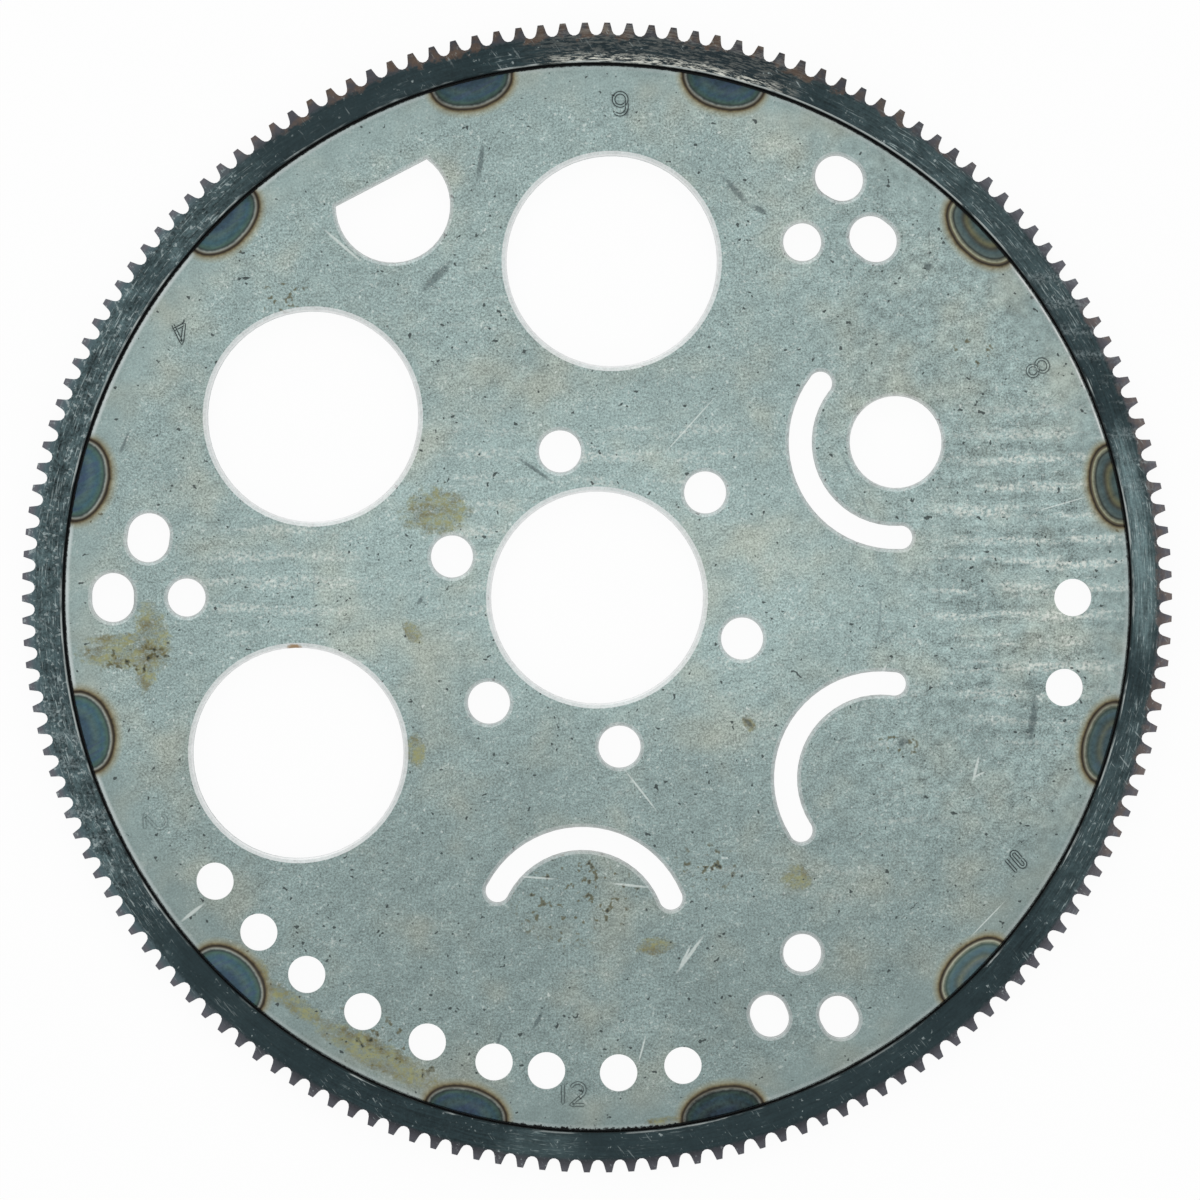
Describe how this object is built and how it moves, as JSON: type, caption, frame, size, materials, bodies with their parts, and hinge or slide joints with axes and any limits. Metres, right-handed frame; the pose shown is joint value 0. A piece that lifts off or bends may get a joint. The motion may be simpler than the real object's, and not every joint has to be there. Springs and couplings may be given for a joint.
{
  "type": "flexplate",
  "caption": "Flat round steel drive plate with punched holes, windows and arc slots, welded inside a starter ring gear, that joins an engine's crankshaft to a torque converter.",
  "frame": {"origin": "centre of the part on the plane of the ring gear's back face, on which the part lies", "axes": "+Z along the part's axis, out of the face with the rolled edges; +Y through the evenly placed crank hole opposite the odd one"},
  "size_m": [0.3466, 0.3466, 0.01],
  "materials": {
    "plate_steel": "bare satin sheet steel with fine grain, straw and blue heat marks at the rim and a few rust stains",
    "ring_steel": "dark blue-black oxide with bright scratches, browner on the teeth",
    "weld_steel": "dull rippled weld metal"
  },
  "bodies": {
    "root": {"plate": "plate_steel", "ring_gear": "ring_steel", "weld_1": "weld_steel", "weld_2": "weld_steel", "weld_3": "weld_steel", "weld_4": "weld_steel", "weld_5": "weld_steel", "weld_6": "weld_steel", "weld_7": "weld_steel", "weld_8": "weld_steel", "weld_9": "weld_steel", "weld_10": "weld_steel", "weld_11": "weld_steel", "weld_12": "weld_steel"}
  },
  "joints": []
}
